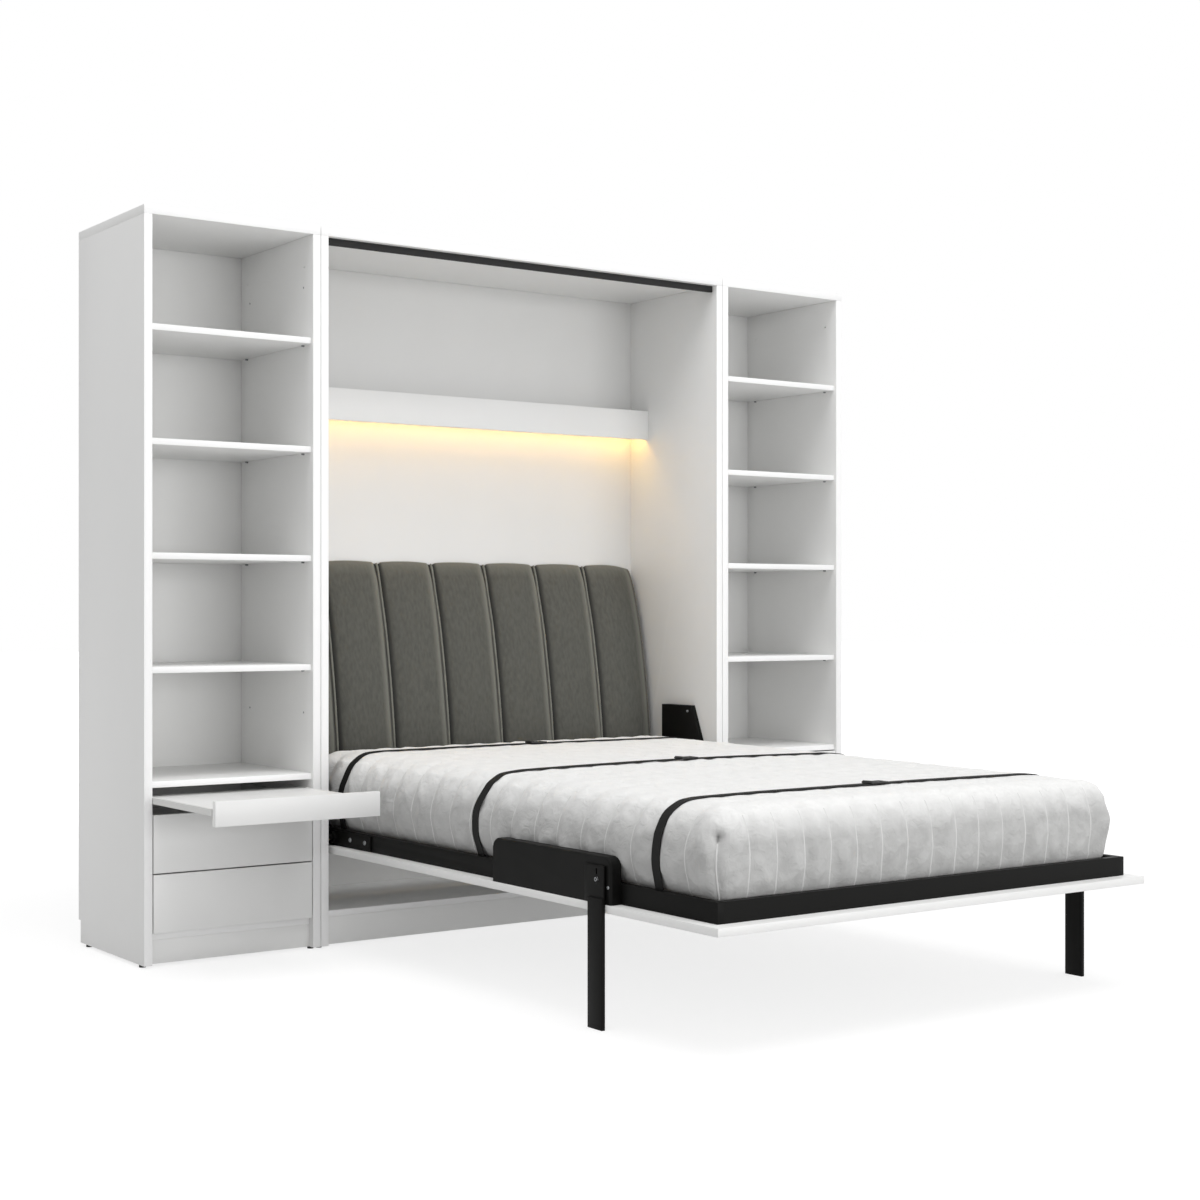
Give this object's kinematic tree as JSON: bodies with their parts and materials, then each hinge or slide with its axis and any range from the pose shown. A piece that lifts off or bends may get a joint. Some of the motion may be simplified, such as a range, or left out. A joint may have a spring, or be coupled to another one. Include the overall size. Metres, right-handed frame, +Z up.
{
  "type": "wall bed with bookcases",
  "caption": "Wall bed: a double mattress on a steel frame that folds up into a white cabinet with a padded headboard, between bookcases with shelves, trays and drawers.",
  "frame": {"origin": "on the floor, in the middle of the box around the cabinets and the open bed", "axes": "+X to the right as seen from the room, +Y towards the wall, +Z up; the bed opens towards -Y"},
  "size_m": [2.684, 2.226, 2.18],
  "materials": {
    "white_laminate": "satin laminate on board",
    "black_steel": "satin powder coat",
    "white_steel": "satin powder coat",
    "velvet": "short-pile velvet",
    "ticking": "quilted woven cover",
    "webbing": "woven strap",
    "light": "diffuser",
    "cylinder_steel": "satin paint",
    "rod_steel": "polished",
    "bolt_steel": "zinc plated",
    "foot_plastic": "moulded",
    "slat_wood": "bare laminated wood",
    "seal_rubber": "matt",
    "buckle_plastic": "moulded"
  },
  "bodies": {
    "cabinet": {"centre_left_side": "white_laminate", "centre_right_side": "white_laminate", "centre_top": "white_laminate", "centre_back": "white_laminate", "centre_floor": "white_laminate", "plinths": "white_laminate", "display_shelf": "white_laminate", "display_fascia": "white_laminate", "led_strip": "light", "headboard_cushion": "velvet", "bookcase_outer_sides": "white_laminate", "bookcase_inner_sides": "white_laminate", "bookcase_tops": "white_laminate", "bookcase_backs": "white_laminate", "bookcase_floors": "white_laminate", "fixed_shelves": "white_laminate", "joining_screws": "bolt_steel", "adjustable_shelves": "white_laminate", "shelf_pins": "bolt_steel", "runner_channels": "white_steel", "hinge_plates": "black_steel", "hinge_covers": "black_steel", "top_seal": "seal_rubber", "glide_feet": "foot_plastic", "wall_brackets": "bolt_steel"},
    "bed": {"face_panel": "white_laminate", "side_rails": "black_steel", "foot_rail": "black_steel", "head_rail": "black_steel", "slats": "slat_wood", "mattress": "ticking", "mattress_straps": "webbing", "strap_buckles": "buckle_plastic", "bed_brackets": "black_steel", "bracket_bolts": "bolt_steel", "leg_housings": "black_steel"},
    "left_leg": {"left_leg": "black_steel"},
    "left_gas_cylinder": {"left_gas_cylinder": "cylinder_steel"},
    "left_gas_rod": {"left_gas_rod": "rod_steel"},
    "left_tray": {"left_tray_front": "white_laminate", "left_tray_board": "white_laminate", "left_tray_bars": "white_steel"},
    "left_lower_drawer": {"left_lower_drawer_front": "white_laminate", "left_lower_drawer_box": "white_laminate", "left_lower_drawer_bars": "white_steel"},
    "left_upper_drawer": {"left_upper_drawer_front": "white_laminate", "left_upper_drawer_box": "white_laminate", "left_upper_drawer_bars": "white_steel"},
    "right_leg": {"right_leg": "black_steel"},
    "right_gas_cylinder": {"right_gas_cylinder": "cylinder_steel"},
    "right_gas_rod": {"right_gas_rod": "rod_steel"},
    "right_tray": {"right_tray_front": "white_laminate", "right_tray_board": "white_laminate", "right_tray_bars": "white_steel"},
    "right_lower_drawer": {"right_lower_drawer_front": "white_laminate", "right_lower_drawer_box": "white_laminate", "right_lower_drawer_bars": "white_steel"},
    "right_upper_drawer": {"right_upper_drawer_front": "white_laminate", "right_upper_drawer_box": "white_laminate", "right_upper_drawer_bars": "white_steel"}
  },
  "joints": [
    {"name": "bed_fold", "type": "hinge", "parent": "cabinet", "child": "bed", "pos_m": [0, 0.673, 0.325], "axis": [-1, 0, 0], "range_deg": [0, 90]},
    {"name": "left_leg_fold", "type": "hinge", "parent": "bed", "child": "left_leg", "pos_m": [-0.7425, -0.677, 0.359], "axis": [1, 0, 0], "range_deg": [0, 90]},
    {"name": "left_gas_swing", "type": "hinge", "parent": "cabinet", "child": "left_gas_cylinder", "pos_m": [-0.738, 0.803, 0.625], "axis": [-1, 0, 0], "range_deg": [0, 10.9]},
    {"name": "left_gas_stroke", "type": "slide", "parent": "left_gas_cylinder", "child": "left_gas_rod", "axis": [0, -0.1322, -0.9912], "range_m": [0, 0.1089]},
    {"name": "left_tray_slide", "type": "slide", "parent": "cabinet", "child": "left_tray", "axis": [0, -1, 0], "range_m": [-0.395, 0.005]},
    {"name": "left_lower_drawer_slide", "type": "slide", "parent": "cabinet", "child": "left_lower_drawer", "axis": [0, -1, 0], "range_m": [0, 0.4]},
    {"name": "left_upper_drawer_slide", "type": "slide", "parent": "cabinet", "child": "left_upper_drawer", "axis": [0, -1, 0], "range_m": [0, 0.4]},
    {"name": "right_leg_fold", "type": "hinge", "parent": "bed", "child": "right_leg", "pos_m": [0.7425, -0.88, 0.359], "axis": [1, 0, 0], "range_deg": [0, 90]},
    {"name": "right_gas_swing", "type": "hinge", "parent": "cabinet", "child": "right_gas_cylinder", "pos_m": [0.738, 0.803, 0.625], "axis": [-1, 0, 0], "range_deg": [0, 10.9]},
    {"name": "right_gas_stroke", "type": "slide", "parent": "right_gas_cylinder", "child": "right_gas_rod", "axis": [0, -0.1322, -0.9912], "range_m": [0, 0.1089]},
    {"name": "right_tray_slide", "type": "slide", "parent": "cabinet", "child": "right_tray", "axis": [0, -1, 0], "range_m": [0, 0.4]},
    {"name": "right_lower_drawer_slide", "type": "slide", "parent": "cabinet", "child": "right_lower_drawer", "axis": [0, -1, 0], "range_m": [0, 0.4]},
    {"name": "right_upper_drawer_slide", "type": "slide", "parent": "cabinet", "child": "right_upper_drawer", "axis": [0, -1, 0], "range_m": [0, 0.4]}
  ],
  "couplings": [
    {"joint": "left_gas_swing", "follows": "bed_fold", "ratio": 0.12045},
    {"joint": "left_gas_stroke", "follows": "bed_fold", "m_per_rad": 0.06904},
    {"joint": "right_gas_swing", "follows": "bed_fold", "ratio": 0.12045},
    {"joint": "right_gas_stroke", "follows": "bed_fold", "m_per_rad": 0.06904}
  ]
}
